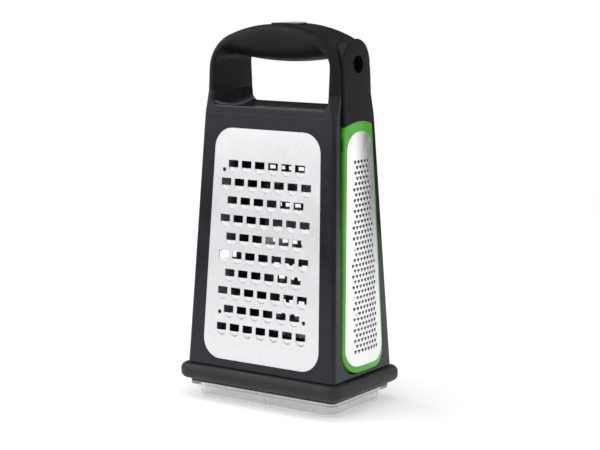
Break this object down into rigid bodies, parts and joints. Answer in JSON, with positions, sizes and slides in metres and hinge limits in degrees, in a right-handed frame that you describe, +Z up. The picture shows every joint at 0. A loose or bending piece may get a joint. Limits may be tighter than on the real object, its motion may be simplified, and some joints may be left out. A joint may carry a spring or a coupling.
{
  "type": "box grater",
  "caption": "Tapered box grater with coarse, medium and slicing sides, a lift-off zester with its own handle, an arched soft-grip handle and a clear catch tray.",
  "frame": {"origin": "on the table, under the middle of the grater", "axes": "+Z up, +X towards the side with the lift-off zester, -Y towards the coarse side, so +Y is the medium side and -X the slicing side"},
  "size_m": [0.1412, 0.089, 0.2755],
  "materials": {
    "gloss_black": "gloss",
    "rigid_black": "matte",
    "soft_black": "matte",
    "steel": "bright",
    "zester_steel": "bright",
    "green": "gloss",
    "clear": "clear"
  },
  "bodies": {
    "grater": {"housing": "gloss_black", "top_cap": "gloss_black", "handle_core": "rigid_black", "handle_grip": "soft_black", "handle_pad": "gloss_black", "coarse_plate": "steel", "medium_plate": "steel", "slicer_plate": "steel", "coarse_retainer": "rigid_black", "medium_retainer": "rigid_black", "slicer_retainer": "rigid_black", "zester_dock": "rigid_black", "base_ring": "gloss_black", "base_collar": "soft_black"},
    "zester": {"zester_frame": "green", "zester_plate": "zester_steel", "zester_handle": "soft_black"},
    "tray": {"container": "clear"}
  },
  "joints": [
    {"name": "zester_pull", "type": "slide", "parent": "grater", "child": "zester", "axis": [0.9991, 0, 0.0418], "range_m": [0, 0.04]},
    {"name": "lift_off", "type": "slide", "parent": "tray", "child": "grater", "axis": [0, 0, 1], "range_m": [0, 0.05]}
  ]
}
